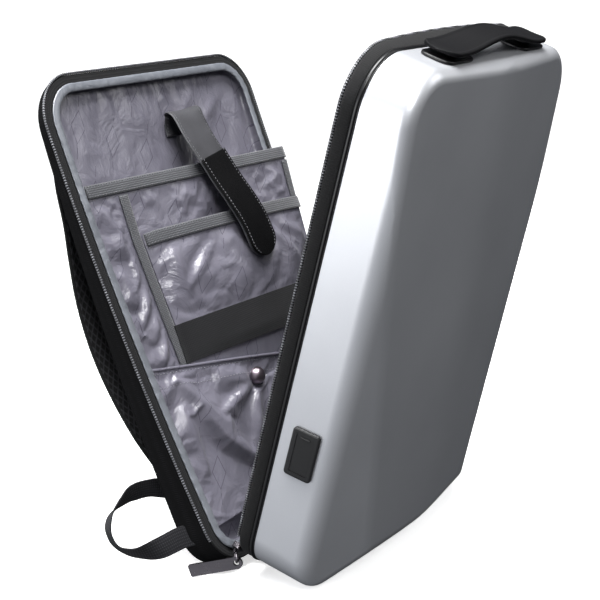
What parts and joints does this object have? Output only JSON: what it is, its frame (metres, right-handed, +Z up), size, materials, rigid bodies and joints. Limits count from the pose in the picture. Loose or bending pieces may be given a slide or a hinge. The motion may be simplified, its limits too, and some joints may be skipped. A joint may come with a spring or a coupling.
{
  "type": "hard shell backpack",
  "caption": "Hard shell backpack standing unzipped, with a faceted silver moulded front, black zipped edges and a grey lined organiser.",
  "frame": {"origin": "middle of the whole pack's footprint, on the floor", "axes": "+Z up, -Y towards the front of the pack, +Y towards the wearer, +X to the right as seen from the front"},
  "size_m": [0.3638, 0.3702, 0.4461],
  "materials": {
    "shell_paint": "moulded plastic with a satin silver metallic lacquer",
    "black_cloth": "woven polyester",
    "black_rubber": "moulded, satin",
    "strap_mesh": "diamond air mesh",
    "webbing": "ribbed nylon webbing",
    "lining": "satin lining with a printed pattern",
    "binding": "woven binding tape and zip teeth",
    "elastic": "woven elastic",
    "leather": "fine grain",
    "gunmetal": "dark plated zinc"
  },
  "bodies": {
    "root": {"shell": "shell_paint", "shell_piping": "black_rubber", "shell_band": "black_cloth", "shell_zip": "binding", "handle": "black_rubber", "handle_plate_left": "black_rubber", "handle_post_left": "black_rubber", "handle_plate_right": "black_rubber", "handle_post_right": "black_rubber", "usb_port": "black_rubber", "usb_cover": "black_rubber", "back_tray": "black_cloth", "back_tape": "black_cloth", "back_zip": "binding", "lining": "lining", "laptop_sleeve": "lining", "tablet_pocket": "lining", "lower_pocket": "lining", "sleeve_binding": "binding", "pocket_binding": "binding", "side_binding_left": "binding", "side_binding_right": "binding", "elastic_band": "elastic", "snap_button": "gunmetal", "laptop_strap": "leather", "laptop_strap_tab": "leather", "shoulder_strap_left": "strap_mesh", "shoulder_strap_right": "strap_mesh", "webbing_left": "webbing", "webbing_right": "webbing", "hinge_strip": "black_cloth", "zip_slider": "gunmetal", "zip_ring": "gunmetal", "zip_pull": "gunmetal"}
  },
  "joints": []
}
